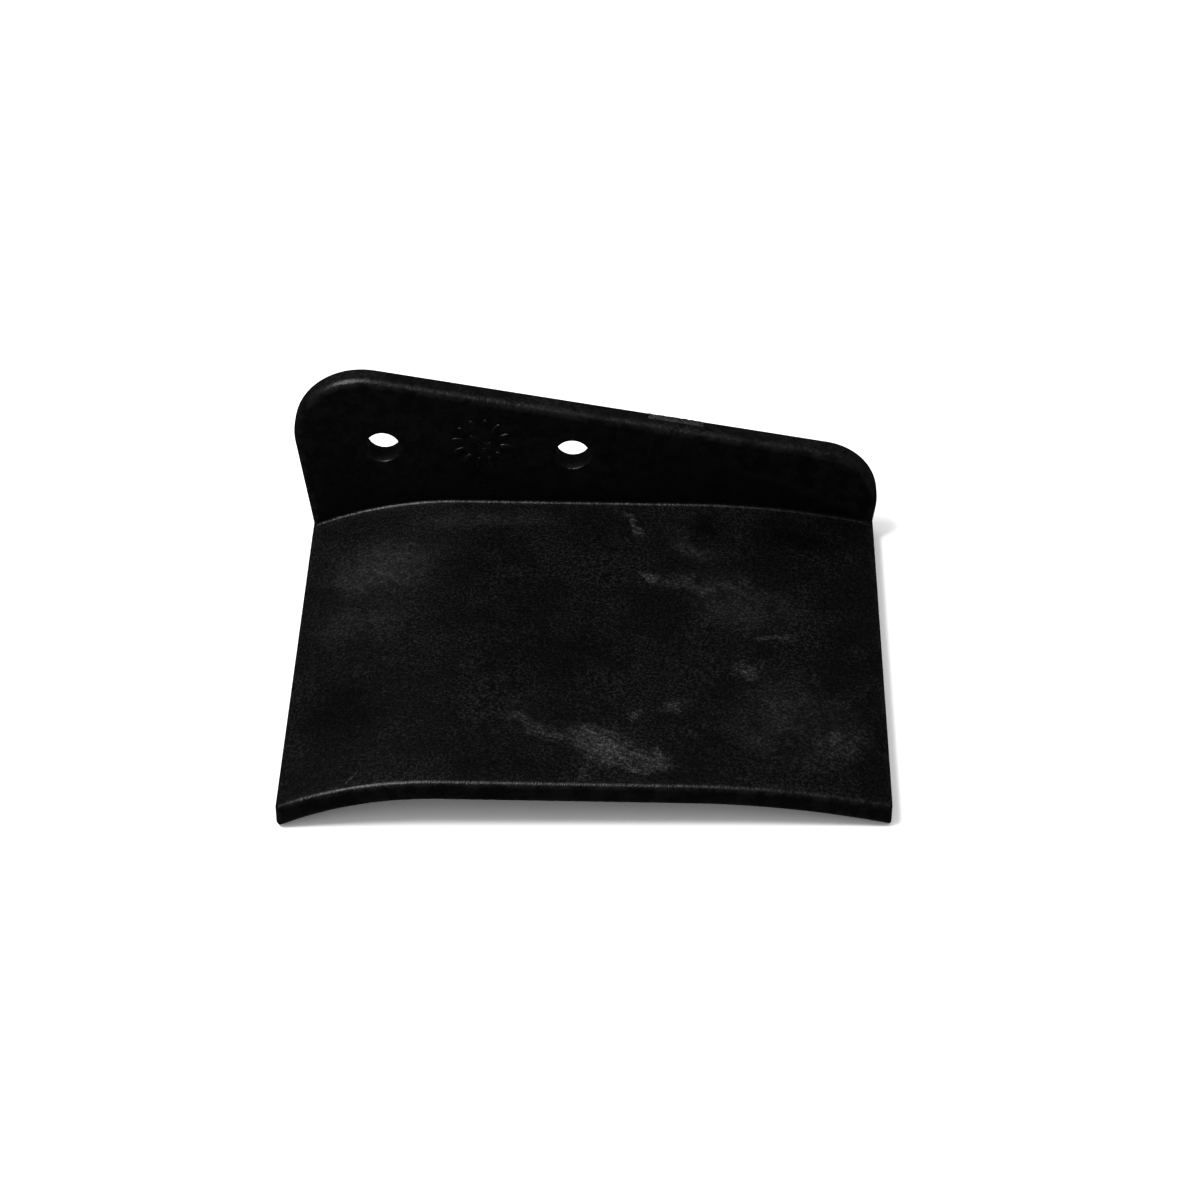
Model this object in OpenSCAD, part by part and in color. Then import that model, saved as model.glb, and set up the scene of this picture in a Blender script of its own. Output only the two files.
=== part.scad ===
// Moulded rubber mud flap: an upright bolt-on flange and an arched flap that runs forward from its foot.
// One piece of rubber with one wall thickness. It stands on the two side edges of the flap.
// +X runs to the right along the flange, -Y runs forward along the flap, and +Z is up, all in mm.
// The sizes across the part are set out from its crown, the flat middle of the flap's upper surface.

/* [Flap] */
// Width over the upper corners of the flap's two side edges.
flap_w = 150; // [110:1:200]
// How far the flap reaches forward from the front face of the flange.
flap_reach = 110; // [70:1:160]
// Wall thickness of the flap and of the flange.
wall = 6.5; // [4:0.1:10]

/* [Arch] */
// Radius of the upper surface where the left side bends down.
left_bend_r = 91; // [70:1:140]
// Width of the left bend, measured level from the crown to the side edge.
left_bend_w = 40.4; // [20:0.1:55]
// Radius of the upper surface where the right side bends down.
right_bend_r = 214; // [120:1:300]
// Width of the right bend, measured level from the crown to the side edge.
right_bend_w = 48.8; // [20:0.1:65]

/* [Flange] */
// Height of the flange's top edge above the crown, at the middle of the flap's width.
flange_h = 28.4; // [25:0.1:45]
// Fall of the top edge from left to right, in degrees.
top_fall = 10; // [0:0.5:14]
// Outward lean of the flange's two sides as they rise, in degrees.
side_lean = 7.5; // [0:0.5:12]
// Step in from the flap's side edge to the foot of the flange's side.
foot_step = 0.3; // [0.2:0.1:1]
// Radius of the tall left corner.
left_corner_r = 18.5; // [10:0.5:24]
// Radius of the low right corner.
right_corner_r = 16.8; // [6:0.1:20]

/* [Bolt holes] */
// Diameter of the two bolt holes.
hole_d = 9; // [6:0.1:14]
// Distance between the two hole centres.
hole_pitch = 50; // [35:0.5:65]
// Place of the hole pair's middle across the width.
pair_x = -30.4; // [-40:0.1:0]
// Height of the hole pair's middle above the crown.
pair_h = 16.6; // [12:0.1:24]
// Fall of the hole pair from left to right, in degrees.
pair_fall = 1.7; // [0:0.1:10]

/* [Edges] */
// Rounding of the outer corner below the flange.
heel_r = 1.4; // [0.5:0.1:2.5]
// Rounding inside the corner between the flange and the flap.
foot_r = 1; // [0.5:0.1:3]
// Rounding of the upper front edge of the flap.
nose_top_r = 1.1; // [0.4:0.1:2]
// Rounding of the lower front edge of the flap.
nose_low_r = 2.4; // [0.5:0.1:3]
// Bevel along the upper edges of the flap's two sides.
side_break = 0.6; // [0.2:0.1:1]
// Width of the bevel under the flap's left side, which takes the place of a soft rounding.
left_low_break = 2.4; // [0.5:0.1:3]
// Width of the bevel under the flap's right side.
right_low_break = 0.9; // [0.5:0.1:3]
// Bevel down the flap's two front corners.
nose_break = 1.4; // [0.3:0.1:2]
// Depth and width of the bevel at the front mouth of each bolt hole.
mouth_break = 0.5; // [0.3:0.1:2]

/* [Date wheel] */
// Diameter over the ring of moulded ticks on the flange's front face.
wheel_d = 15.6; // [8:0.1:20]
// Number of ticks in the ring.
wheel_ticks = 12; // [4:1:24]
// Length of a tick.
tick_l = 1.7; // [0.5:0.1:3]
// Width of a tick and of the arrow's shaft.
tick_w = 0.6; // [0.3:0.1:1.2]
// Height of the marks above the flange's face.
mark_h = 0.25; // [0.1:0.05:0.6]
// Place of the wheel's centre, to the right of the hole pair's middle.
wheel_dx = 1.2; // [-5:0.1:5]
// Place of the wheel's centre, above the hole pair's middle.
wheel_dz = 2.7; // [0:0.1:5]
// Length of the arrow across the wheel.
arrow_l = 7; // [3:0.1:10]
// Direction in which the arrow points, in degrees below level.
arrow_turn = 34; // [0:1:90]

/* [Hidden] */
$fn = 96;

// The tools that cut run past a face by this much, and raised marks are sunk into it by this much.
past = 1;
sunk = 1;

// Crown: the flat middle of the flap's upper surface, between the two bends.
crown_left = left_bend_w - flap_w / 2;
crown_right = flap_w / 2 - right_bend_w;
left_turn = asin(left_bend_w / left_bend_r);
right_turn = asin(right_bend_w / right_bend_r);
left_axis = [crown_left, -left_bend_r];
right_axis = [crown_right, -right_bend_r];

// Points and directions are [across, up] pairs. Turn 0 is straight up, and a positive turn is to the right.
function heading(turn) = [sin(turn), cos(turn)];
left_foot = left_axis + left_bend_r * heading(-left_turn);
right_foot = right_axis + right_bend_r * heading(right_turn);

// The flap's sides are upright. Each has a bevel below, which ends on the lower surface at the toe.
low_rise = 40;
left_toe = left_axis + [left_low_break - left_bend_w,
    sqrt(pow(left_bend_r - wall, 2) - pow(left_bend_w - left_low_break, 2))];
right_toe = right_axis + [right_bend_w - right_low_break,
    sqrt(pow(right_bend_r - wall, 2) - pow(right_bend_w - right_low_break, 2))];
// The bends are swept this far, past the upright sides, and are then trimmed.
left_sweep = asin(left_bend_w / (left_bend_r - wall)) + 1;
right_sweep = asin(right_bend_w / (right_bend_r - wall)) + 1;

// Outward directions of the flange's left side, top and right side.
left_out = heading(-90 - side_lean);
top_out = heading(top_fall);
right_out = heading(90 + side_lean);

// The point that lies at distance a along direction p and at distance b along direction q.
function meet(p, a, q, b) =
    [a * q[1] - b * p[1], b * p[0] - a * q[0]] / (p[0] * q[1] - p[1] * q[0]);
left_base = left_foot - foot_step * left_out;
right_base = right_foot - foot_step * right_out;
top_reach = top_out * [0, flange_h];

// A corner's rounding is limited by the side below it, which keeps a straight run of this length.
least_run = 2.5;
left_bow = 90 + side_lean + top_fall;
right_bow = 90 + side_lean - top_fall;
left_side = norm(meet(left_out, left_out * left_base, top_out, top_reach) - left_base);
right_side = norm(meet(right_out, right_out * right_base, top_out, top_reach) - right_base);
left_r = min(left_corner_r, (left_side - least_run) / tan(left_bow / 2));
right_r = min(right_corner_r, (right_side - least_run) / tan(right_bow / 2));
left_corner = meet(left_out, left_out * left_base - left_r, top_out, top_reach - left_r);
right_corner = meet(right_out, right_out * right_base - right_r, top_out, top_reach - right_r);

// Ends of the flange's straight sides. The two at the foot lie inside the flap's wall.
left_sunk = left_base - foot_step * heading(-side_lean);
left_shoulder = left_corner + left_r * left_out;
top_left = left_corner + left_r * top_out;
top_right = right_corner + right_r * top_out;
right_shoulder = right_corner + right_r * right_out;
right_sunk = right_base - foot_step * heading(side_lean);

// A corner disc stands proud of the straight sides by this much, so that it crosses them in clean lines.
proud = 0.02;

// Bolt holes and date wheel.
pair_mid = [pair_x, pair_h];
left_hole = pair_mid - hole_pitch / 2 * heading(90 + pair_fall);
right_hole = pair_mid + hole_pitch / 2 * heading(90 + pair_fall);
wheel_mid = pair_mid + [wheel_dx, wheel_dz];

// The part leans until its two toes stand on one level.
lean = atan((right_toe[1] - left_toe[1]) / (right_toe[0] - left_toe[0]));
function leaned(p) = [p[0] * cos(lean) + p[1] * sin(lean), p[1] * cos(lean) - p[0] * sin(lean)];
low_x = min(leaned(left_corner)[0] - left_r - proud, leaned([-flap_w / 2, left_toe[1]])[0]);
high_x = max(leaned(right_corner)[0] + right_r + proud, leaned(right_foot)[0]);
centre_x = (low_x + high_x) / 2;
centre_y = (wall - flap_reach) / 2;
base_z = leaned(left_toe)[1];

flap_moulding();

// The whole moulding in its standing place, centred over the floor.
module flap_moulding() {
    color([0.05, 0.05, 0.055])
        translate([-centre_x, -centre_y, -base_z])
            rotate([0, lean, 0])
                difference() {
                    union() {
                        flap();
                        facing() flange_plate();
                        facing() date_wheel();
                    }
                    facing() bolt_hole(left_hole);
                    facing() bolt_hole(right_hole);
                    edge_bevels();
                }
}

// Turns work laid out flat, [across, up] and forward, to stand upright.
module facing() {
    rotate([90, 0, 0]) children();
}

// The flap: one section bent down at the left, straight over the crown and bent down at the right.
module flap() {
    difference() {
        union() {
            facing()
                translate(left_axis)
                    rotate_extrude(start = 90, angle = left_sweep) flap_section(left_bend_r);
            translate([crown_left, 0, 0])
                rotate([0, -90, 180])
                    linear_extrude(height = crown_right - crown_left) flap_section(0);
            facing()
                translate(right_axis)
                    rotate_extrude(start = 90 - right_sweep, angle = right_sweep)
                        flap_section(right_bend_r);
        }
        side_trim(-flap_w / 2, left_toe, -1);
        side_trim(flap_w / 2, right_toe, 1);
    }
}

// Everything outside an upright side of the flap and outside the bevel below it. out is -1 to the left.
module side_trim(side, toe, out) {
    rise = abs(side - toe[0]) * tan(low_rise);
    facing()
        translate([0, 0, -wall - past])
            linear_extrude(height = flap_reach + wall + 2 * past)
                polygon([
                    [side, wall],
                    [side, toe[1] + rise],
                    toe - past * [out, tan(low_rise)],
                    [side + out * wall, toe[1] - wall],
                    [side + out * wall, wall]
                ]);
}

// Section along the flap, drawn as [height from the bend's axis, distance forward of the flange's face].
module flap_section(r) {
    difference() {
        translate([r - wall, -wall]) square([wall, wall + flap_reach]);
        corner_cut([r, flap_reach], [1, 1], nose_top_r);
        corner_cut([r - wall, flap_reach], [-1, 1], nose_low_r);
        corner_cut([r - wall, -wall], [-1, -1], heel_r);
    }
    difference() {
        translate([r - foot_r, 0]) square([2 * foot_r, foot_r]);
        translate([r + foot_r, foot_r]) circle(r = foot_r);
    }
}

// What is taken off a square corner to round it. side gives the corner's outward directions.
module corner_cut(corner, side, r) {
    translate([corner[0], corner[1]])
        scale([side[0], side[1]])
            difference() {
                translate([-r, -r]) square(r + past);
                translate([-r, -r]) circle(r = r);
            }
}

// The flange: a flat plate with two rounded corners, sunk into the flap's wall.
module flange_plate() {
    difference() {
        union() {
            translate([0, 0, -wall])
                linear_extrude(height = wall)
                    polygon([
                        left_axis, left_sunk, left_shoulder, top_left,
                        top_right, right_shoulder, right_sunk, right_axis
                    ]);
            corner_disc(left_corner, left_r);
            corner_disc(right_corner, right_r);
        }
        under_flap();
    }
}

// A round disc that makes a rounded corner of the flange.
module corner_disc(middle, r) {
    translate([middle[0], middle[1], -wall]) cylinder(r = r + proud, h = wall);
}

// Everything below the middle of the flap's wall.
module under_flap() {
    translate([0, 0, -wall - past])
        linear_extrude(height = wall + 2 * past) {
            translate(left_axis) circle(r = left_bend_r - wall / 2);
            translate(right_axis) circle(r = right_bend_r - wall / 2);
            translate([crown_left, -right_bend_r])
                square([crown_right - crown_left, right_bend_r - wall / 2]);
        }
}

// A through hole with a bevelled mouth at the front.
module bolt_hole(at) {
    translate([at[0], at[1], -wall - past])
        cylinder(d = hole_d, h = wall + 2 * past);
    translate([at[0], at[1], -mouth_break])
        cylinder(r1 = hole_d / 2, r2 = hole_d / 2 + mouth_break + past, h = mouth_break + past);
}

// Small bevels along the upper side edges and down the two front corners of the flap.
module edge_bevels() {
    side_bevel(left_foot, -left_turn / 2);
    side_bevel(right_foot, right_turn / 2);
    corner_bevel(left_foot);
    corner_bevel(right_foot);
}

// Bevels a side edge from the flap's front back to the flange, turned halfway to the surface above.
module side_bevel(at, turn) {
    translate([at[0], -flap_reach - past, at[1]])
        rotate([0, turn + 45, 0])
            translate([-side_break / sqrt(2), 0, -side_break / sqrt(2)])
                cube([side_break * sqrt(2), flap_reach - 2 * foot_r + past, side_break * sqrt(2)]);
}

// Bevels the upright edge at a front corner of the flap.
module corner_bevel(at) {
    translate([at[0], -flap_reach, at[1]])
        rotate(45)
            translate([-nose_break / sqrt(2), -nose_break / sqrt(2), -wall - 3 * past])
                cube([nose_break * sqrt(2), nose_break * sqrt(2), wall + 4 * past]);
}

// Raised marks left by the mould's date insert: a ring of ticks round an arrow.
module date_wheel() {
    translate([wheel_mid[0], wheel_mid[1], -sunk]) {
        for (i = [0 : wheel_ticks - 1])
            rotate(i * 360 / wheel_ticks)
                translate([wheel_d / 2 - tick_l, -tick_w / 2, 0])
                    cube([tick_l, tick_w, sunk + mark_h]);
        rotate(-arrow_turn)
            linear_extrude(height = sunk + mark_h)
                polygon([
                    [-arrow_l / 2, -tick_w / 2],
                    [arrow_l / 2 - 2 * tick_l, -tick_w / 2],
                    [arrow_l / 2 - 2 * tick_l, -tick_l],
                    [arrow_l / 2, 0],
                    [arrow_l / 2 - 2 * tick_l, tick_l],
                    [arrow_l / 2 - 2 * tick_l, tick_w / 2],
                    [-arrow_l / 2, tick_w / 2]
                ]);
    }
}
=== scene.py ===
# %% [markdown]
# # A moulded rubber mud flap
# The real object is one piece of black rubber, pressed in a steel mould. An upright flange bolts to
# a trailer with two bolts, and an arched flap runs forward from the flange's foot.
# The imported model gives the frame: how big the part is, where it stands and where its holes are.
# We load it first, and we keep its box, so that the finished piece can be centred on it and stand on the
# same floor.

# %% Load the frame
import math

import bmesh
import bpy
from mathutils import Matrix, Vector, noise


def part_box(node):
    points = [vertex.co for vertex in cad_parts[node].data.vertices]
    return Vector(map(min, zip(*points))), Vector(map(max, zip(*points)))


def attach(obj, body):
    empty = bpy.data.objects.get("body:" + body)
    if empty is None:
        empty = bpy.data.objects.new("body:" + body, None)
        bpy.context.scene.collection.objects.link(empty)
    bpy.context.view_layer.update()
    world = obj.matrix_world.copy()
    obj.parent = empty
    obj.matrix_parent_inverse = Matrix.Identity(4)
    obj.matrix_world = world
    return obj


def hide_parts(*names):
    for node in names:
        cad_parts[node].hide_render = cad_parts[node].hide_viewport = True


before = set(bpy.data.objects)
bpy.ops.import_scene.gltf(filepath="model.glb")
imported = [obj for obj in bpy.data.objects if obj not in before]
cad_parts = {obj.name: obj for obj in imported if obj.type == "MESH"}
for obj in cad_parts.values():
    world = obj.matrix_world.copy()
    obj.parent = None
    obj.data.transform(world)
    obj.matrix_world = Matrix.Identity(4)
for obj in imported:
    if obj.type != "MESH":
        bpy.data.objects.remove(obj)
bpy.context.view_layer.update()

low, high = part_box("flap_moulding")
print("CAD box, mm:", [round((b - a) * 1000, 2) for a, b in zip(low, high)])

# %% [markdown]
# ## Sizes
# The moulding is set out from its crown, the flat middle of the flap's upper surface. In this crown
# frame x runs across the flap, y runs back and z runs up. The flange's front face is at y = 0, and
# the flap reaches forward from it. Sizes are in millimetres here, because they are easy to read so.
# They become metres in one place, when the mesh is moved to where it stands.

# %% Name the sizes
MM = 0.001
FLAP_W, FLAP_REACH, WALL = 150.0, 110.0, 6.5
LEFT_BEND_R, LEFT_BEND_W = 91.0, 40.4
RIGHT_BEND_R, RIGHT_BEND_W = 214.0, 48.8
FLANGE_H, TOP_FALL, SIDE_LEAN = 28.4, 10.0, 7.5
LEFT_CORNER_R, RIGHT_CORNER_R = 18.5, 16.8
HOLE_R, HOLE_PITCH = 4.5, 50.0
PAIR_MID, PAIR_FALL = Vector((-30.4, 16.6)), 1.7

RIM_R, BACK_RIM_R, FOOT_R, HEEL_R = 2.2, 1.4, 1.0, 1.4
NOSE_TOP_R, NOSE_LOW_R, NOSE_CORNER_R = 1.4, 2.4, 1.4
SIDE_R, LEFT_LOW_R, RIGHT_LOW_R = 0.6, 1.84, 0.8
MOUTH_R, BACK_MOUTH_R = 0.5, 0.2
print("flap", FLAP_W, "by", FLAP_REACH, "mm, wall", WALL, "mm")

# %% [markdown]
# ## The arch and the outline
# Two rules give the whole shape. The arch is an arc, a flat and another arc, and it says where the
# flap's upper surface is at each place across. The outline goes round the flange: up its right
# side, round the low corner, along the top, round the tall corner and down its left side.
# A heading is a direction turned clockwise from straight up, so a turn of 90 faces right.


# %% Directions and where two edges meet
def heading(turn):
    return Vector((math.sin(math.radians(turn)), math.cos(math.radians(turn))))


def meet(p, a, q, b):
    """The point at distance a along direction p and at distance b along direction q."""
    return Vector((a * q.y - b * p.y, b * p.x - a * q.x)) / (p.x * q.y - p.y * q.x)


crown_left = LEFT_BEND_W - FLAP_W / 2
crown_right = FLAP_W / 2 - RIGHT_BEND_W
left_turn = math.degrees(math.asin(LEFT_BEND_W / LEFT_BEND_R))
right_turn = math.degrees(math.asin(RIGHT_BEND_W / RIGHT_BEND_R))
left_axis = Vector((crown_left, -LEFT_BEND_R))
right_axis = Vector((crown_right, -RIGHT_BEND_R))
print("the arch turns down", round(left_turn, 1), "and", round(right_turn, 1), "degrees")


# %% Places across the flap, still flat
def places_across(left_steps=26, crown_steps=18, right_steps=22):
    """x of each row of corners, from left to right, on a flap that isn't bent yet."""
    left = [LEFT_BEND_W * (i / left_steps) - FLAP_W / 2 for i in range(left_steps)]
    crown = [crown_left + (crown_right - crown_left) * i / crown_steps for i in range(crown_steps)]
    right = [crown_right + RIGHT_BEND_W * i / right_steps for i in range(right_steps + 1)]
    return left + crown + right


across = places_across()
left_foot = left_axis + LEFT_BEND_R * heading(-left_turn)
right_foot = right_axis + RIGHT_BEND_R * heading(right_turn)
print(len(across), "rows, feet at", [round(v, 2) for v in (*left_foot, *right_foot)])


# %% Points round the flange
def flange_outline(right_steps=5, corner_steps=24, top_steps=40, left_steps=11):
    """The flange's outline from its right foot round to its left foot, both feet included."""
    left_out, top_out, right_out = heading(-90 - SIDE_LEAN), heading(TOP_FALL), heading(90 + SIDE_LEAN)
    left_reach, right_reach = left_out.dot(left_foot), right_out.dot(right_foot)
    top_reach = top_out.dot(Vector((0, FLANGE_H)))
    low_mid = meet(right_out, right_reach - RIGHT_CORNER_R, top_out, top_reach - RIGHT_CORNER_R)
    tall_mid = meet(left_out, left_reach - LEFT_CORNER_R, top_out, top_reach - LEFT_CORNER_R)
    points = []
    right_shoulder = low_mid + RIGHT_CORNER_R * right_out
    for i in range(right_steps):
        points.append(right_foot.lerp(right_shoulder, i / right_steps))
    for i in range(corner_steps):
        turn = 90 + SIDE_LEAN + (TOP_FALL - 90 - SIDE_LEAN) * i / corner_steps
        points.append(low_mid + RIGHT_CORNER_R * heading(turn))
    top_right, top_left = low_mid + RIGHT_CORNER_R * top_out, tall_mid + LEFT_CORNER_R * top_out
    for i in range(top_steps):
        points.append(top_right.lerp(top_left, i / top_steps))
    for i in range(corner_steps):
        turn = TOP_FALL - (90 + SIDE_LEAN + TOP_FALL) * i / corner_steps
        points.append(tall_mid + LEFT_CORNER_R * heading(turn))
    left_shoulder = tall_mid + LEFT_CORNER_R * left_out
    for i in range(left_steps + 1):
        points.append(left_shoulder.lerp(left_foot, i / left_steps))
    return points


outline = flange_outline()
holes = [PAIR_MID - HOLE_PITCH / 2 * heading(90 + PAIR_FALL),
         PAIR_MID + HOLE_PITCH / 2 * heading(90 + PAIR_FALL)]
print(len(outline), "outline points, holes at", [tuple(round(v, 2) for v in h) for h in holes])

# %% [markdown]
# ## The moulding as a cage
# The moulding could be cut from blocks with booleans, but those leave untidy faces that take no
# clean rounding. Instead we place the corners by the two rules and join them into a closed cage
# with sharp edges. Each sharp edge then gets a bevel weight that says how far it will be rounded,
# because a mould maker rounds each edge by its own amount, the flap's lower front edge most.
# The flat faces with bolt holes are split above and below each hole, so no face has a hole in it.


# %% Helpers for the cage
WIDEST = NOSE_LOW_R
cage = bmesh.new()
weight = cage.edges.layers.float.new("bevel_weight_edge")
arched = cage.verts.layers.float.new("arched")


def corner(p, y, follows_arch=0.0):
    vert = cage.verts.new((p.x, y, p.y))
    vert[arched] = follows_arch
    return vert


def round_edge(a, b, radius):
    edge = cage.edges.get((a, b)) or cage.edges.new((a, b))
    edge[weight] = radius / WIDEST


def round_chain(verts, radius):
    for a, b in zip(verts, verts[1:]):
        round_edge(a, b, radius)


def nearest(points, at):
    return min(range(len(points)), key=lambda i: (points[i] - at).length)


# %% Place the corners of the flap and the flange
REACH_STEPS = 34
reaches = [-FLAP_REACH * (1 - j / REACH_STEPS) for j in range(REACH_STEPS + 1)]
upper = [[corner(Vector((x, 0)), y, 1.0) for y in reaches] for x in across]
lower = [[corner(Vector((x, -WALL)), y, 1.0) for y in reaches + [WALL]] for x in across]
left_heel, right_heel = (corner(Vector((x, 0)), WALL, 1.0) for x in (across[0], across[-1]))
rim_front = [upper[-1][-1], *(corner(p, 0) for p in outline[1:-1]), upper[0][-1]]
rim_back = [right_heel, *(corner(p, WALL) for p in outline[1:-1]), left_heel]

HOLE_STEPS = 48
rings = [[[corner(hole + HOLE_R * heading(360 * k / HOLE_STEPS), y) for k in range(HOLE_STEPS)]
          for hole in holes] for y in (0, WALL)]
print(len(cage.verts), "corners placed")


# %% Join the corners into faces
ABOVE_RIM = 30  # any height that takes a hole's centre past the rim


def grid_faces(rows):
    for a, b in zip(rows, rows[1:]):
        for j in range(len(a) - 1):
            cage.faces.new((a[j], a[j + 1], b[j + 1], b[j]))


def holed_face(foot, rim, ring_pair):
    """A flat face between a foot line and a rim, split into three above and below its two holes."""
    half = HOLE_STEPS // 2
    foot_at = [min(range(len(across)), key=lambda i: abs(across[i] - h.x)) for h in holes]
    rim_at = [nearest(outline, Vector((h.x, h.y + ABOVE_RIM))) for h in holes]
    (a, b), (ra, rb) = foot_at, rim_at
    ring_a, ring_b = ring_pair
    up_a, up_b = [*ring_a[half:], ring_a[0]], [*ring_b[half:], ring_b[0]]
    down_a, down_b = ring_a[:half + 1], ring_b[:half + 1]
    left_end = [] if rim[-1] is foot[0] else [rim[-1]]
    right_end = [] if rim[0] is foot[-1] else [rim[0]]
    cage.faces.new([*foot[:a + 1], *up_a, *rim[ra:-1], *left_end])
    cage.faces.new([*foot[a:b + 1], *up_b, *rim[rb:ra + 1], *down_a])
    cage.faces.new([*foot[b:], *right_end, *rim[1:rb + 1], *down_b])


grid_faces(upper)
grid_faces([row[:-1] for row in lower])
grid_faces([row[-2:] for row in lower])
grid_faces([[u[0], l[0]] for u, l in zip(upper, lower)])
for u, l, heel in ((upper[0], lower[0], left_heel), (upper[-1], lower[-1], right_heel)):
    grid_faces([u, l[:-1]])
    cage.faces.new((u[-1], heel, l[-1], l[-2]))
grid_faces([rim_front, rim_back])
holed_face([row[-1] for row in upper], rim_front, rings[0])
holed_face([row[-1] for row in lower], rim_back, rings[1])
for front, back in zip(*rings):
    grid_faces([front + front[:1], back + back[:1]])
bmesh.ops.recalc_face_normals(cage, faces=cage.faces)
open_edges = [e for e in cage.edges if len(e.link_faces) != 2]
print(len(cage.faces), "faces,", len(open_edges), "open edges")

# %% Say how far each edge is rounded
for u, l, heel, low_r in ((upper[0], lower[0], left_heel, LEFT_LOW_R),
                          (upper[-1], lower[-1], right_heel, RIGHT_LOW_R)):
    round_chain(u, SIDE_R)
    round_chain(l, low_r)
    round_edge(u[0], l[0], NOSE_CORNER_R)
    round_edge(heel, l[-1], HEEL_R)
round_chain([row[0] for row in upper], NOSE_TOP_R)
round_chain([row[0] for row in lower], NOSE_LOW_R)
round_chain([row[-1] for row in lower], HEEL_R)
round_chain([row[-1] for row in upper], FOOT_R)
round_chain(rim_front, RIM_R)
round_chain(rim_back, BACK_RIM_R)
for side, radius in zip(rings, (MOUTH_R, BACK_MOUTH_R)):
    for ring in side:
        round_chain(ring + ring[:1], radius)
print(sum(e[weight] > 0 for e in cage.edges), "edges to be rounded")

# %% [markdown]
# ## Press the arch
# In the mould the flap is pressed over an arched core. Here a Geometry Nodes tree does the same to
# the flat cage: it moves each corner marked as arched onto the arch, and leaves the flange's rim and
# holes alone. The widths and the two radii are inputs of the tree, so another arch needs only other
# numbers. The rule keeps x in the flat middle, and turns what lies beyond it by an angle that grows
# with the distance. The flap's underside turns further than its top, which keeps the two sides of
# the flap upright.

# %% Small helpers for node trees
def link(tree, a, out, b, into):
    tree.links.new(a.outputs[out], b.inputs[into])


def add(tree, kind, **values):
    """Adds a node, and sets its properties by name and its sockets by name."""
    node = tree.nodes.new(kind)
    for key, value in values.items():
        if hasattr(node, key):
            setattr(node, key, value)
        else:
            node.inputs[key.replace("_", " ")].default_value = value
    return node


def math_node(tree, kind, a, b):
    """a and b may be numbers or sockets. Gives the result's socket."""
    node = add(tree, "ShaderNodeMath", operation=kind)
    for i, value in enumerate((a, b)):
        if isinstance(value, (int, float)):
            node.inputs[i].default_value = value
        else:
            tree.links.new(value, node.inputs[i])
    return node.outputs["Value"]


# %% Build the arch's tree
rubber = bpy.data.materials.new("black_rubber")


def bend(tree, x, depth, start, width, radius, side):
    """Sockets for the shift in x and the drop in z of a corner beyond start, where the arc begins."""
    beyond = math_node(tree, "MULTIPLY", math_node(tree, "SUBTRACT", x, start), side)
    part = math_node(tree, "DIVIDE", math_node(tree, "MAXIMUM", beyond, 0.0), width)
    arm = math_node(tree, "SUBTRACT", radius, depth)
    full = math_node(tree, "ARCSINE", math_node(tree, "DIVIDE", width, arm), 0.0)
    angle = math_node(tree, "MULTIPLY", part, full)
    out = math_node(tree, "MULTIPLY", arm, math_node(tree, "SINE", angle, 0.0))
    fall = math_node(tree, "SUBTRACT", 1.0, math_node(tree, "COSINE", angle, 0.0))
    return math_node(tree, "MULTIPLY", out, side), math_node(tree, "MULTIPLY", arm, fall)


def arch_tree(finish):
    tree = bpy.data.node_groups.new("press_arch", "GeometryNodeTree")
    tree.interface.new_socket("Geometry", in_out="INPUT", socket_type="NodeSocketGeometry")
    for name in ("Flap width", "Left radius", "Left width", "Right radius", "Right width"):
        tree.interface.new_socket(name, in_out="INPUT", socket_type="NodeSocketFloat")
    tree.interface.new_socket("Geometry", in_out="OUTPUT", socket_type="NodeSocketGeometry")
    sizes, end = add(tree, "NodeGroupInput"), add(tree, "NodeGroupOutput")
    half = math_node(tree, "DIVIDE", sizes.outputs["Flap width"], 2.0)
    left = math_node(tree, "SUBTRACT", sizes.outputs["Left width"], half)
    right = math_node(tree, "SUBTRACT", half, sizes.outputs["Right width"])
    flat = add(tree, "ShaderNodeSeparateXYZ")
    link(tree, add(tree, "GeometryNodeInputPosition"), "Position", flat, "Vector")
    x, depth = flat.outputs["X"], math_node(tree, "MULTIPLY", flat.outputs["Z"], -1.0)
    go_left, drop_left = bend(tree, x, depth, left, sizes.outputs["Left width"],
                              sizes.outputs["Left radius"], -1.0)
    go_right, drop_right = bend(tree, x, depth, right, sizes.outputs["Right width"],
                                sizes.outputs["Right radius"], 1.0)
    middle = math_node(tree, "MAXIMUM", left, math_node(tree, "MINIMUM", x, right))
    place = add(tree, "ShaderNodeCombineXYZ")
    gone = math_node(tree, "ADD", go_left, go_right)
    tree.links.new(math_node(tree, "ADD", middle, gone), place.inputs["X"])
    link(tree, flat, "Y", place, "Y")
    drop = math_node(tree, "ADD", depth, math_node(tree, "ADD", drop_left, drop_right))
    tree.links.new(math_node(tree, "MULTIPLY", drop, -1.0), place.inputs["Z"])
    marked = add(tree, "GeometryNodeInputNamedAttribute", data_type="FLOAT", Name="arched")
    moved = add(tree, "GeometryNodeSetPosition")
    link(tree, sizes, "Geometry", moved, "Geometry")
    is_arched = math_node(tree, "GREATER_THAN", marked.outputs["Attribute"], 0.5)
    tree.links.new(is_arched, moved.inputs["Selection"])
    link(tree, place, "Vector", moved, "Position")
    real = add(tree, "GeometryNodeRealizeInstances")
    link(tree, moved, "Geometry", real, "Geometry")
    paint = add(tree, "GeometryNodeSetMaterial")
    paint.inputs["Material"].default_value = finish
    link(tree, real, "Geometry", paint, "Geometry")
    link(tree, paint, "Geometry", end, "Geometry")
    return tree


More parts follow.
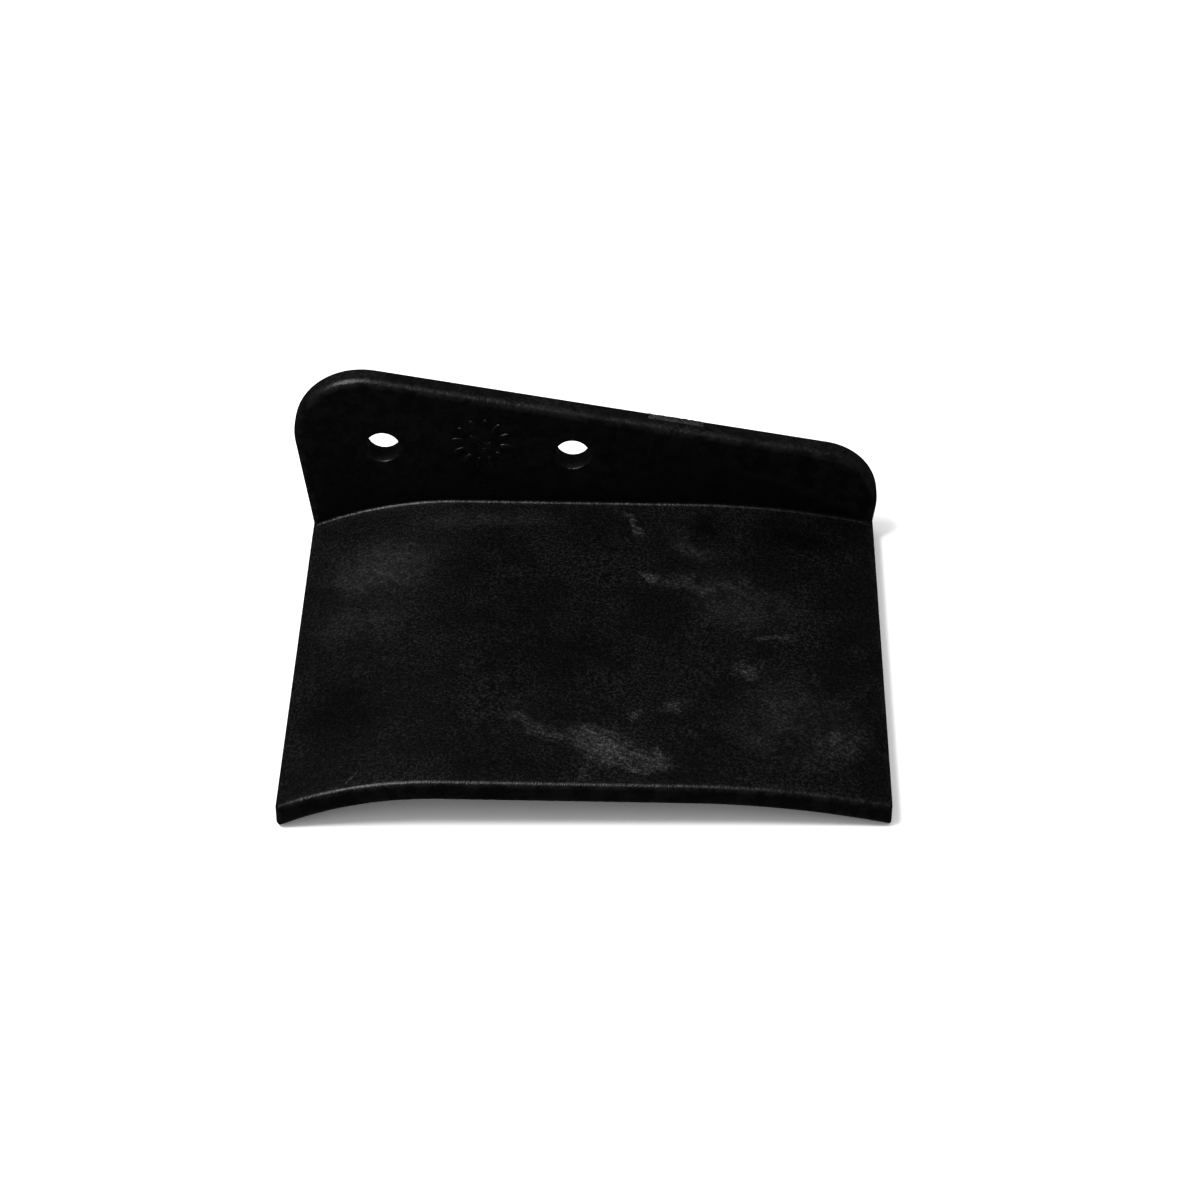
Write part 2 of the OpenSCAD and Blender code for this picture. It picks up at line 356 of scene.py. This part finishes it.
def add_tree(obj, tree, values):
    """Adds the tree to the object, and sets its inputs by identifier from a table by name."""
    modifier = obj.modifiers.new(tree.name, "NODES")
    modifier.node_group = tree
    for item in tree.interface.items_tree:
        if item.in_out == "INPUT" and item.name in values:
            modifier[item.identifier] = values[item.name]


ARCH_SIZES = {"Flap width": FLAP_W, "Left radius": LEFT_BEND_R, "Left width": LEFT_BEND_W,
              "Right radius": RIGHT_BEND_R, "Right width": RIGHT_BEND_W}
press_arch = arch_tree(rubber)
print("press_arch:", len(press_arch.nodes), "nodes")

# %% [markdown]
# ## Round the edges
# The Bevel modifier reads the weights and rolls every edge over with its own radius. A Weighted
# Normal modifier after it keeps the big faces flat in the light, so that only the rolled edges turn.
# The result becomes a plain mesh, and the sharp cage is dropped.


# %% Make the rounded mesh
def applied(obj):
    """A plain mesh of the object with its modifiers applied. The object is removed."""
    bpy.context.view_layer.update()
    graph = bpy.context.evaluated_depsgraph_get()
    mesh = bpy.data.meshes.new_from_object(obj.evaluated_get(graph), depsgraph=graph)
    bpy.data.objects.remove(obj)
    return mesh


def new_object(name, mesh):
    obj = bpy.data.objects.new(name, mesh)
    bpy.context.scene.collection.objects.link(obj)
    return obj


cage_mesh = bpy.data.meshes.new("moulding_cage")
cage.to_mesh(cage_mesh)
cage.free()
cage_mesh.shade_smooth()
cage_object = new_object("moulding_cage", cage_mesh)
add_tree(cage_object, press_arch, ARCH_SIZES)
bevel = cage_object.modifiers.new("rolled_edges", "BEVEL")
bevel.limit_method = "WEIGHT"
bevel.offset_type = "OFFSET"
bevel.width = WIDEST
bevel.segments = 7
bevel.use_clamp_overlap = False
flat = cage_object.modifiers.new("flat_faces", "WEIGHTED_NORMAL")
flat.weight = 50
flat.keep_sharp = False
moulding_mesh = applied(cage_object)
print("rounded moulding:", len(moulding_mesh.vertices), "points,", len(moulding_mesh.polygons), "faces")

# %% [markdown]
# ## Stand it on the floor
# Both side edges of the flap stand on the floor, so the crown frame leans a little. The lean comes
# from the lowest point at each side. The mesh then moves until its box is centred on the packed
# model's and stands on the same floor.

# %% Lean, scale and place
left_stand, right_stand = (min((v.co for v in moulding_mesh.vertices if v.co.x * side > 0),
                               key=lambda co: co.z) for side in (-1, 1))
lean = math.atan2(right_stand.z - left_stand.z, right_stand.x - left_stand.x)


SWELL, SWELL_SIZE, SWELL_SEED = 0.22, 48, 3.7
TRUE_UNTIL, GROWS_OVER = 8, 30


def warp(mesh):
    """Rubber never cools quite true, so the flap dips and swells a little away from the flange."""
    for v in mesh.vertices:
        away = min(max((-v.co.y - TRUE_UNTIL) / GROWS_OVER, 0), 1)
        swell = noise.noise(Vector((v.co.x / SWELL_SIZE, v.co.y / SWELL_SIZE, SWELL_SEED)))
        v.co.z += SWELL * swell * away * away * (3 - 2 * away)


warp(moulding_mesh)
moulding_mesh.transform(Matrix.Scale(MM, 4) @ Matrix.Rotation(lean, 4, "Y"))
xs, ys, zs = zip(*(v.co for v in moulding_mesh.vertices))
standing = Vector(((low.x + high.x - min(xs) - max(xs)) / 2,
                   (low.y + high.y - min(ys) - max(ys)) / 2, low.z - min(zs)))
moulding_mesh.transform(Matrix.Translation(standing))
in_place = Matrix.Translation(standing) @ Matrix.Scale(MM, 4) @ Matrix.Rotation(lean, 4, "Y")
print("lean, degrees:", round(math.degrees(lean), 3), "moved, mm:", [round(v / MM, 2) for v in standing])
moulding = new_object("rubber_moulding", moulding_mesh)

# %% [markdown]
# ## The date wheel
# A small insert in the mould leaves a date wheel on the flange: a ring of raised marks round an
# arrow, here without any figures. Every mark is the same shape, so Geometry Nodes place them: a ring
# of points, one soft bar on each, turned to face the middle. The sizes are inputs of the tree.


# %% A soft bar, the shape of every mark
def soft_bar(tree, length, width, height, levels=3):
    """A box of the given sizes, melted round like a grain of rice. The sizes are sockets to link from."""
    size = add(tree, "ShaderNodeCombineXYZ")
    for socket, axis in ((length, "X"), (width, "Y"), (height, "Z")):
        tree.links.new(socket, size.inputs[axis])
    box = add(tree, "GeometryNodeMeshCube")
    for axis in "XYZ":
        box.inputs["Vertices " + axis].default_value = 2
    link(tree, size, "Vector", box, "Size")
    melt = add(tree, "GeometryNodeSubdivisionSurface")
    melt.inputs["Level"].default_value = levels
    link(tree, box, "Mesh", melt, "Mesh")
    return melt


# %% Build the wheel's tree
BARB_AT, BARB_OUT, BARB_TURN = 0.26, 0.55, 42


def wheel_tree(finish):
    tree = bpy.data.node_groups.new("date_wheel", "GeometryNodeTree")
    for name, kind in (("Ring radius", "NodeSocketFloat"), ("Marks", "NodeSocketInt"),
                       ("Mark length", "NodeSocketFloat"), ("Mark width", "NodeSocketFloat"),
                       ("Height", "NodeSocketFloat"), ("Arrow length", "NodeSocketFloat")):
        tree.interface.new_socket(name, in_out="INPUT", socket_type=kind)
    tree.interface.new_socket("Geometry", in_out="OUTPUT", socket_type="NodeSocketGeometry")
    sizes, end = add(tree, "NodeGroupInput"), add(tree, "NodeGroupOutput")
    ring = add(tree, "GeometryNodeMeshCircle")
    link(tree, sizes, "Marks", ring, "Vertices")
    link(tree, sizes, "Ring radius", ring, "Radius")
    facing = add(tree, "FunctionNodeAlignRotationToVector", axis="X")
    link(tree, add(tree, "GeometryNodeInputPosition"), "Position", facing, "Vector")
    mark = soft_bar(tree, sizes.outputs["Mark length"], sizes.outputs["Mark width"],
                    sizes.outputs["Height"])
    marks = add(tree, "GeometryNodeInstanceOnPoints")
    link(tree, ring, "Mesh", marks, "Points")
    link(tree, mark, "Mesh", marks, "Instance")
    link(tree, facing, "Rotation", marks, "Rotation")
    shaft = soft_bar(tree, sizes.outputs["Arrow length"], sizes.outputs["Mark width"],
                     sizes.outputs["Height"])
    barb = soft_bar(tree, sizes.outputs["Mark length"], sizes.outputs["Mark width"],
                    sizes.outputs["Height"])
    join = add(tree, "GeometryNodeJoinGeometry")
    link(tree, marks, "Instances", join, "Geometry")
    link(tree, shaft, "Mesh", join, "Geometry")
    for side in (-1, 1):
        half = add(tree, "ShaderNodeMath", operation="MULTIPLY")
        link(tree, sizes, "Arrow length", half, 0)
        half.inputs[1].default_value = BARB_AT
        put = add(tree, "ShaderNodeCombineXYZ")
        link(tree, half, "Value", put, "X")
        put.inputs["Y"].default_value = side * BARB_OUT
        turn = add(tree, "GeometryNodeTransform")
        turn.inputs["Rotation"].default_value = (0, 0, -side * math.radians(BARB_TURN))
        link(tree, barb, "Mesh", turn, "Geometry")
        link(tree, put, "Vector", turn, "Translation")
        link(tree, turn, "Geometry", join, "Geometry")
    real = add(tree, "GeometryNodeRealizeInstances")
    link(tree, join, "Geometry", real, "Geometry")
    paint = add(tree, "GeometryNodeSetMaterial")
    paint.inputs["Material"].default_value = finish
    link(tree, real, "Geometry", paint, "Geometry")
    link(tree, paint, "Geometry", end, "Geometry")
    return tree


# %% [markdown]
# ## The rubber
# Black rubber shows very little colour of its own. What tells it from paint is its grain: fine
# pimples from the blasted steel of the mould, dull grey strokes where it was wiped with release
# agent, and pale scuffs from handling. All of them are made in one material on Object coordinates,
# so they stay on the part from every side. Each mark is an ellipse with a torn border, placed in
# millimetres across and forward from the crown. Two numbers painted on the points help: how much a
# point faces up, because only upper surfaces are scuffed and because the grain is darkened on faces
# that don't face up as painted shade, and how sharply it bends, because rubber wears pale on its
# edges, and that pale is partly a painted highlight.


# %% Paint how each point faces and bends
UP_FROM, UP_OVER, BEND_GAIN = 0.55, 0.3, 7


def paint_points(mesh):
    """Adds the attributes that the rubber reads: facing up, and the bend of convex edges."""
    bm = bmesh.new()
    bm.from_mesh(mesh)
    bm.normal_update()
    up_values, bend_values = [], []
    for v in bm.verts:
        slopes = [v.normal.dot((v.co - e.other_vert(v).co).normalized()) for e in v.link_edges]
        up_values.append(min(max((v.normal.z - UP_FROM) / UP_OVER, 0), 1))
        bend_values.append(min(max(max(slopes) * BEND_GAIN, 0), 1))
    bm.free()
    for name, values in (("faces_up", up_values), ("edge_bend", bend_values)):
        mesh.attributes.new(name, "FLOAT", "POINT").data.foreach_set("value", values)
    print(mesh.name, "edge points:", sum(b > 0.5 for b in bend_values))


paint_points(moulding_mesh)


# %% Helpers for the rubber's nodes
def ramp(tree, value, start, end, low_to=0.0, high_to=1.0):
    """Value from start to end becomes low_to to high_to, smoothly."""
    node = add(tree, "ShaderNodeMapRange", interpolation_type="SMOOTHSTEP")
    tree.links.new(value, node.inputs["Value"])
    for name, number in (("From Min", start), ("From Max", end),
                         ("To Min", low_to), ("To Max", high_to)):
        node.inputs[name].default_value = number
    return node.outputs["Result"]


def grain(tree, coords, size_mm, detail=2.0, stretch=(1, 1, 1), turn=0.0, rough=0.55):
    """Noise whose lumps are size_mm across, stretched along turned axes. Gives its value's socket."""
    place = add(tree, "ShaderNodeMapping", vector_type="TEXTURE")
    place.inputs["Rotation"].default_value = (0, 0, math.radians(turn))
    place.inputs["Scale"].default_value = [size_mm * MM * s for s in stretch]
    tree.links.new(coords, place.inputs["Vector"])
    node = add(tree, "ShaderNodeTexNoise")
    for name, number in (("Scale", 1.0), ("Detail", detail), ("Roughness", rough)):
        node.inputs[name].default_value = number
    link(tree, place, "Vector", node, "Vector")
    return node.outputs["Fac"]


def patch(tree, coords, x, y, half_length, half_width, turn, soft=0.6):
    """An ellipse on the flap, in mm from the crown, 1 in its middle and 0 outside."""
    place = add(tree, "ShaderNodeMapping", vector_type="TEXTURE")
    spot = in_place @ Vector((x, y, 0))
    place.inputs["Location"].default_value = (spot.x, spot.y, 0)
    place.inputs["Rotation"].default_value = (0, 0, math.radians(turn))
    place.inputs["Scale"].default_value = (half_length * MM, half_width * MM, 1000)
    tree.links.new(coords, place.inputs["Vector"])
    length = add(tree, "ShaderNodeVectorMath", operation="LENGTH")
    link(tree, place, "Vector", length, 0)
    return ramp(tree, length.outputs["Value"], 1.0, 1.0 - soft)


# %% Where the flap is scuffed, brushed and dark
# Each entry is x, y, half length, half width, turn in degrees and strength.
SCUFFS = [(-12.0, -89.0, 18.0, 5.0, -27.0, 0.8), (4.0, -95.5, 16.0, 9.5, -26.0, 1.0),
          (14.0, -100.0, 13.0, 7.0, -22.0, 1.0), (10.2, -9.5, 9.5, 1.9, -55.0, 1.0),
          (16.0, -30.0, 5.0, 3.2, -35.0, 0.9), (27.0, -33.5, 15.0, 5.5, -14.0, 0.7),
          (36.5, -36.5, 5.0, 2.6, -30.0, 0.6), (21.5, -81.0, 7.0, 4.4, 20.0, 0.7),
          (40.5, -66.0, 7.5, 6.2, 35.0, 0.8), (12.2, -84.2, 3.4, 2.0, 60.0, 0.8),
          (-31.5, -66.5, 5.5, 4.0, 70.0, 0.55), (46.0, -53.5, 8.5, 1.8, 8.0, 0.8),
          (63.0, -90.0, 12.0, 16.0, -50.0, 0.6), (1.0, -104.5, 4.0, 2.6, -70.0, 0.7),
          (-56.1, -105.3, 3.6, 0.6, 57.6, 1.0)]
BRUSHED = [(-52.0, -26.0, 24.0, 20.0, 20.0, 1.0), (-57.0, -44.0, 15.0, 16.0, 60.0, 0.6),
           (38.0, -38.0, 26.0, 16.0, -30.0, 0.55), (52.0, -84.0, 22.0, 24.0, -50.0, 0.6),
           (-30.0, -8.0, 30.0, 6.0, 4.0, 0.5), (26.0, -16.0, 13.0, 8.0, -50.0, 0.9)]
DARK = [(-62.0, -80.0, 16.0, 22.0, 10.0, 0.75), (30.0, -11.0, 8.0, 7.0, 0.0, 0.7),
        (56.0, -12.0, 15.0, 7.0, -6.0, 0.8), (-8.0, -62.0, 32.0, 20.0, 8.0, 0.3),
        (-16.0, -103.0, 16.0, 5.0, -8.0, 0.4), (36.0, -97.0, 14.0, 8.0, -20.0, 0.35)]
print(len(SCUFFS), "scuffs,", len(BRUSHED), "brushed areas,", len(DARK), "dark areas")


def patches(tree, coords, table, soft):
    total = 0.0
    for x, y, half_length, half_width, turn, strength in table:
        spot = patch(tree, coords, x, y, half_length, half_width, turn, soft)
        total = math_node(tree, "MAXIMUM", total, math_node(tree, "MULTIPLY", spot, strength))
    return total


# %% Mix the rubber
BLACK, PALE = (0.0003, 0.0003, 0.00032, 1), (0.97, 0.98, 1.0, 1)
# The side share of the pale grain is painted shade: faces that don't face up keep only this much of it.
TEAR, SIDE_PAINTED_SHADE, DARKENS = 0.011, 0.16, 0.9
SPECK_LOW, SPECK_HIGH = 0.0025, 0.0085
BRUSHED_PALE, STROKE_PALE, SCUFF_PALE, EDGE_WEAR_AND_HIGHLIGHT = 0.0040, 0.018, 0.040, 0.004


def mix_black_rubber(finish):
    finish.use_nodes = True
    tree = finish.node_tree
    shader = tree.nodes["Principled BSDF"]
    coords = add(tree, "ShaderNodeTexCoord").outputs["Object"]
    up = add(tree, "ShaderNodeAttribute", attribute_name="faces_up").outputs["Fac"]
    bend = add(tree, "ShaderNodeAttribute", attribute_name="edge_bend").outputs["Fac"]

    wander = grain(tree, coords, 9.0, detail=4.0)
    torn = add(tree, "ShaderNodeVectorMath", operation="ADD")
    shift = math_node(tree, "MULTIPLY", math_node(tree, "SUBTRACT", wander, 0.5), TEAR)
    offset = add(tree, "ShaderNodeCombineXYZ")
    tree.links.new(shift, offset.inputs["X"])
    tree.links.new(shift, offset.inputs["Y"])
    tree.links.new(coords, torn.inputs[0])
    link(tree, offset, "Vector", torn, 1)
    torn = torn.outputs["Vector"]

    speckle = ramp(tree, grain(tree, coords, 0.72, detail=3.0, rough=0.8), 0.44, 0.68)
    clumps = ramp(tree, grain(tree, coords, 4.0, detail=5.0, rough=0.7), 0.35, 0.65)
    strokes = grain(tree, coords, 0.8, detail=4.0, stretch=(9, 1, 1), turn=38, rough=0.7)
    strokes = ramp(tree, strokes, 0.42, 0.72)
    runs = grain(tree, coords, 1.6, detail=4.0, stretch=(4, 1, 1), turn=-50, rough=0.7)
    runs = ramp(tree, runs, 0.45, 0.7)
    mottle = ramp(tree, grain(tree, coords, 17.0, detail=7.0, rough=0.62), 0.36, 0.66)

    times = lambda a, b: math_node(tree, "MULTIPLY", a, b)
    plus = lambda a, b: math_node(tree, "ADD", a, b)
    ragged = plus(times(grain(tree, coords, 1.3, detail=5.0, rough=0.75), 1.5), times(clumps, 0.35))
    scuff = plus(patches(tree, torn, SCUFFS, 0.85), plus(ragged, -1.0))
    drag = grain(tree, coords, 1.1, detail=4.0, stretch=(6, 1, 1), turn=-27)
    drag = ramp(tree, drag, 0.38, 0.62, 0.3, 1.0)
    scuff = times(ramp(tree, scuff, -0.05, 1.0), times(patches(tree, torn, SCUFFS, 0.6), times(drag, up)))
    brushed = times(patches(tree, torn, BRUSHED, 0.9), up)
    stroke = times(brushed, math_node(tree, "MAXIMUM", strokes, runs))
    dark = times(patches(tree, torn, DARK, 0.9), up)

    pale = times(speckle, ramp(tree, mottle, 0.0, 1.0, SPECK_LOW, SPECK_HIGH))
    pale = plus(pale, times(brushed, times(mottle, BRUSHED_PALE)))
    pale = plus(pale, times(times(stroke, ramp(tree, speckle, 0.0, 1.0, 0.3, 1.0)), STROKE_PALE))
    pale = times(pale, math_node(tree, "SUBTRACT", 1.0, times(dark, DARKENS)))
    # Painted shade: faces that don't face up keep only the side share of the pale grain, so the flange
    # face and the flap's sides come out darker.
    pale = times(pale, ramp(tree, up, 0.0, 1.0, SIDE_PAINTED_SHADE, 1.0))
    pale = plus(pale, times(times(scuff, ramp(tree, speckle, 0.0, 1.0, 0.2, 1.0)), SCUFF_PALE))
    # Wear and painted highlight: convex edges get a paler colour, partly as wear and partly as a painted
    # highlight along them.
    edge_wear_and_highlight = times(bend, ramp(tree, clumps, 0.2, 0.8, 0.2, 1.0))
    pale = plus(pale, times(edge_wear_and_highlight, EDGE_WEAR_AND_HIGHLIGHT))
    colour = add(tree, "ShaderNodeMix", data_type="RGBA", blend_type="MIX")
    mix_in = {s.identifier: s for s in colour.inputs}
    mix_in["A_Color"].default_value, mix_in["B_Color"].default_value = BLACK, PALE
    tree.links.new(pale, mix_in["Factor_Float"])
    mixed = {s.identifier: s for s in colour.outputs}["Result_Color"]
    tree.links.new(mixed, shader.inputs["Base Color"])

    dull = plus(ramp(tree, up, 0.0, 1.0, 0.30, 0.34), times(speckle, 0.10))
    dull = plus(dull, times(math_node(tree, "SUBTRACT", scuff, dark), 0.10))
    tree.links.new(dull, shader.inputs["Roughness"])
    shader.inputs["IOR"].default_value = 1.5
    shader.inputs["Specular IOR Level"].default_value = 0.3

    pimples = grain(tree, coords, 0.5, detail=3.0, rough=0.65)
    skin = add(tree, "ShaderNodeBump")
    skin.inputs["Strength"].default_value = 0.5
    skin.inputs["Distance"].default_value = 0.00008
    tree.links.new(pimples, skin.inputs["Height"])
    relief = add(tree, "ShaderNodeBump")
    relief.inputs["Strength"].default_value = 0.4
    relief.inputs["Distance"].default_value = 0.00018
    tree.links.new(plus(clumps, times(strokes, brushed)), relief.inputs["Height"])
    link(tree, skin, "Normal", relief, "Normal")
    link(tree, relief, "Normal", shader, "Normal")


mix_black_rubber(rubber)
print("black_rubber:", len(rubber.node_tree.nodes), "nodes")

# %% [markdown]
# ## Set the date wheel on the flange
# The tree's inputs are set by each socket's identifier before the object is first evaluated. The
# wheel is made flat, so it is turned to face forward, leaned with the part and sunk a little.

# %% Make and place the wheel
WHEEL_SIZES = {"Ring radius": 6.3, "Marks": 12, "Mark length": 3.9, "Mark width": 1.9,
               "Height": 0.95, "Arrow length": 9.5}
WHEEL_MID, ARROW_TURN = PAIR_MID + Vector((1.2, 2.7)), 38.0
wheel_nodes = wheel_tree(rubber)
wheel_object = new_object("wheel_source", bpy.data.meshes.new("wheel_source"))
add_tree(wheel_object, wheel_nodes, WHEEL_SIZES)
wheel_mesh = applied(wheel_object)
wheel_mesh.transform(in_place @ Matrix.Translation((WHEEL_MID.x, 0, WHEEL_MID.y))
                     @ Matrix.Rotation(math.radians(90), 4, "X")
                     @ Matrix.Rotation(-math.radians(ARROW_TURN), 4, "Z"))
wheel_mesh.shade_smooth()
date_wheel = new_object("date_wheel", wheel_mesh)
paint_points(wheel_mesh)
print("date wheel:", len(wheel_mesh.polygons), "faces")

# %% [markdown]
# ## The gate's scar
# Rubber enters the mould through a gate on the flange's top edge. The sprue is torn off there, and
# it leaves a rough patch a few millimetres wide. It is a thin skin of its own, lumpy with noise,
# whose borders dive under the surface so that no seam shows.

# %% Make the scar
SCAR_FROM, SCAR_TO, SCAR_FRONT, SCAR_BACK = 13.7, 29.9, 3.1, 6.35
SCAR_LONG, SCAR_WIDE = SCAR_TO - SCAR_FROM, SCAR_BACK - SCAR_FRONT
SCAR_STEPS, SCAR_ROWS, SCAR_DEEP, SCAR_INSET = 96, 20, 0.5, 0.6
END_FADE, FRONT_FADE, BACK_FADE = 1.2, 0.7, 0.5
PROUD, ROUGH, DIVE = 0.10, 0.16, 0.22


def top_surface(x, y):
    """The point on the flange's top edge at x, y, with the roll of its back edge."""
    along = Vector((x, FLANGE_H - x * math.tan(math.radians(TOP_FALL))))
    past_roll = max(y - (WALL - BACK_RIM_R), 0)
    drop = BACK_RIM_R - math.sqrt(max(BACK_RIM_R ** 2 - past_roll ** 2, 0))
    return along - drop * heading(TOP_FALL)


def gate_scar():
    bm = bmesh.new()
    top, under = [], []
    for i in range(SCAR_STEPS + 1):
        s = i / SCAR_STEPS
        row_top, row_under = [], []
        for j in range(SCAR_ROWS + 1):
            t = j / SCAR_ROWS
            x, y = SCAR_FROM + SCAR_LONG * s, SCAR_FRONT + SCAR_WIDE * t
            border = min(min(s, 1 - s) * SCAR_LONG / END_FADE, t * SCAR_WIDE / FRONT_FADE,
                         (1 - t) * SCAR_WIDE / BACK_FADE, 1)
            lump = noise.fractal(Vector((x / 1.1, y / 0.8, 1.3)), 1.0, 2.2, 4)
            lift = (PROUD + ROUGH * lump) * border - DIVE * (1 - border)
            p = top_surface(x, y) + lift * heading(TOP_FALL)
            row_top.append(bm.verts.new((p.x, y, p.y)))
            q = top_surface(x, y) - SCAR_DEEP * heading(TOP_FALL)
            row_under.append(bm.verts.new((q.x, min(y, WALL - SCAR_INSET), q.y)))
        top.append(row_top)
        under.append(row_under)
    for rows in (top, under):
        for a, b in zip(rows, rows[1:]):
            for j in range(SCAR_ROWS):
                bm.faces.new((a[j], a[j + 1], b[j + 1], b[j]))
    for rows in ((top[0], under[0]), (top[-1], under[-1]),
                 ([r[0] for r in top], [r[0] for r in under]),
                 ([r[-1] for r in top], [r[-1] for r in under])):
        for j in range(len(rows[0]) - 1):
            bm.faces.new((rows[0][j], rows[0][j + 1], rows[1][j + 1], rows[1][j]))
    bmesh.ops.recalc_face_normals(bm, faces=bm.faces)
    mesh = bpy.data.meshes.new("gate_scar")
    bm.to_mesh(mesh)
    bm.free()
    mesh.shade_smooth()
    mesh.transform(in_place)
    return mesh


# %% Finish the scar in torn rubber
def torn_rubber():
    finish = bpy.data.materials.new("torn_rubber")
    finish.use_nodes = True
    tree = finish.node_tree
    shader = tree.nodes["Principled BSDF"]
    coords = add(tree, "ShaderNodeTexCoord").outputs["Object"]
    flecks = ramp(tree, grain(tree, coords, 1.6, detail=5.0, rough=0.8), 0.40, 0.66)
    colour = add(tree, "ShaderNodeMix", data_type="RGBA")
    mix_in = {s.identifier: s for s in colour.inputs}
    mix_in["A_Color"].default_value = (0.002, 0.002, 0.0021, 1)
    mix_in["B_Color"].default_value = (0.022, 0.022, 0.023, 1)
    tree.links.new(flecks, mix_in["Factor_Float"])
    tree.links.new({s.identifier: s for s in colour.outputs}["Result_Color"], shader.inputs["Base Color"])
    tree.links.new(ramp(tree, flecks, 0.0, 1.0, 0.5, 0.65), shader.inputs["Roughness"])
    bump = add(tree, "ShaderNodeBump")
    bump.inputs["Strength"].default_value = 0.6
    bump.inputs["Distance"].default_value = 0.0003
    tree.links.new(flecks, bump.inputs["Height"])
    link(tree, bump, "Normal", shader, "Normal")
    return finish


scar = new_object("gate_scar", gate_scar())
scar.data.materials.append(torn_rubber())
print("gate scar:", len(scar.data.polygons), "faces")

# %% [markdown]
# ## Hand the pieces over
# All three pieces belong to the one body of the part. The rounded moulding stands for the packed
# one, which stays behind for collision.

# %% Ride on the body
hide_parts("flap_moulding")
for piece in (moulding, date_wheel, scar):
    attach(piece, "root")
    print(piece.name, "rides on root")

# %% [markdown]
# ## Floor, light and camera
# A plain pale floor and one soft lamp overhead, a little to the left and toward the camera, as in
# a small product studio. Black rubber mirrors whatever is round it, so a white room would turn it
# grey. A studio puts black cards round such a part, and we say the same with fewer pieces. The floor
# is hidden from reflections and from bounced light. The air is bright where the camera looks past
# the part and where it fills the shadows, and nearly dark where the rubber mirrors it. The flange
# then stays nearly black, helped by the painted shade on faces that don't face up, and the lamp
# draws bright lines along the rolled edges.


# %% Lay the floor
def pale_floor():
    finish = bpy.data.materials.new("pale_floor")
    finish.use_nodes = True
    tree = finish.node_tree
    shader = tree.nodes["Principled BSDF"]
    coords = add(tree, "ShaderNodeTexCoord").outputs["Object"]
    colour = add(tree, "ShaderNodeMix", data_type="RGBA")
    mix_in = {s.identifier: s for s in colour.inputs}
    mix_in["A_Color"].default_value = (0.86, 0.86, 0.86, 1)
    mix_in["B_Color"].default_value = (0.90, 0.90, 0.90, 1)
    tree.links.new(grain(tree, coords, 60.0), mix_in["Factor_Float"])
    tree.links.new({s.identifier: s for s in colour.outputs}["Result_Color"], shader.inputs["Base Color"])
    shader.inputs["Roughness"].default_value = 0.8
    return finish


bm = bmesh.new()
bmesh.ops.create_grid(bm, x_segments=8, y_segments=8, size=4.0)
floor_mesh = bpy.data.meshes.new("floor")
bm.to_mesh(floor_mesh)
bm.free()
floor_mesh.transform(Matrix.Translation((0, 0, low.z)))
floor_mesh.materials.append(pale_floor())
floor = new_object("floor", floor_mesh)
floor.visible_glossy = False
floor.visible_diffuse = False
print("floor at, mm:", round(low.z / MM, 2))


# %% Hang the lamp and fill the air
def lamp(name, place, aim, size, watts):
    data = bpy.data.lights.new(name, "AREA")
    data.shape, data.size, data.energy = "SQUARE", size, watts
    obj = new_object(name, data)
    obj.location = place
    obj.rotation_euler = (Vector(aim) - Vector(place)).to_track_quat("-Z", "Y").to_euler()
    return obj


lamp("overhead_lamp", (-0.52, -0.24, 1.3), (0, 0.05, 0), 0.42, 21.0)

world = bpy.data.worlds.new("studio_air")
bpy.context.scene.world = world
world.use_nodes = True
air = world.node_tree
dim = air.nodes["Background"]
dim.inputs["Color"].default_value = (1, 1, 1, 1)
sees = add(air, "ShaderNodeLightPath")
FILL, MIRRORED, BACKDROP = 1.05, 0.028, 1.0
to_mirrored = add(air, "ShaderNodeMix", data_type="FLOAT")
to_backdrop = add(air, "ShaderNodeMix", data_type="FLOAT")
to_mirrored.inputs[2].default_value, to_mirrored.inputs[3].default_value = FILL, MIRRORED
to_backdrop.inputs[3].default_value = BACKDROP
link(air, sees, "Is Glossy Ray", to_mirrored, 0)
link(air, sees, "Is Camera Ray", to_backdrop, 0)
link(air, to_mirrored, 0, to_backdrop, 2)
link(air, to_backdrop, 0, dim, "Strength")
world.cycles.sampling_method = "NONE"
print("air strength: fill", FILL, "mirrored", MIRRORED, "backdrop", BACKDROP)

# %% Set the camera
CAMERA_AT = Vector((12.28, -691.65, 546.67))
PITCH, YAW, ROLL = math.radians(40.0), math.radians(0.84), math.radians(0.40)
ahead = Vector((-math.sin(YAW) * math.cos(PITCH), math.cos(YAW) * math.cos(PITCH), -math.sin(PITCH)))
level_right = Vector((math.cos(YAW), math.sin(YAW), 0))
above = level_right.cross(ahead)
right_hand = math.cos(ROLL) * level_right + math.sin(ROLL) * above
overhead = -math.sin(ROLL) * level_right + math.cos(ROLL) * above
camera_data = bpy.data.cameras.new("camera")
camera_data.sensor_width, camera_data.lens = 36.0, 99.2
camera = new_object("camera", camera_data)
turned = Matrix.Rotation(lean, 4, "Y") @ Matrix((right_hand, overhead, -ahead)).transposed().to_4x4()
camera.matrix_world = Matrix.Translation(in_place @ CAMERA_AT) @ turned
bpy.context.scene.camera = camera
bpy.context.scene.view_settings.view_transform = "Standard"
print("camera, mm:", [round(v / MM, 1) for v in camera.matrix_world.translation])

# %% Finish
bpy.context.view_layer.update()
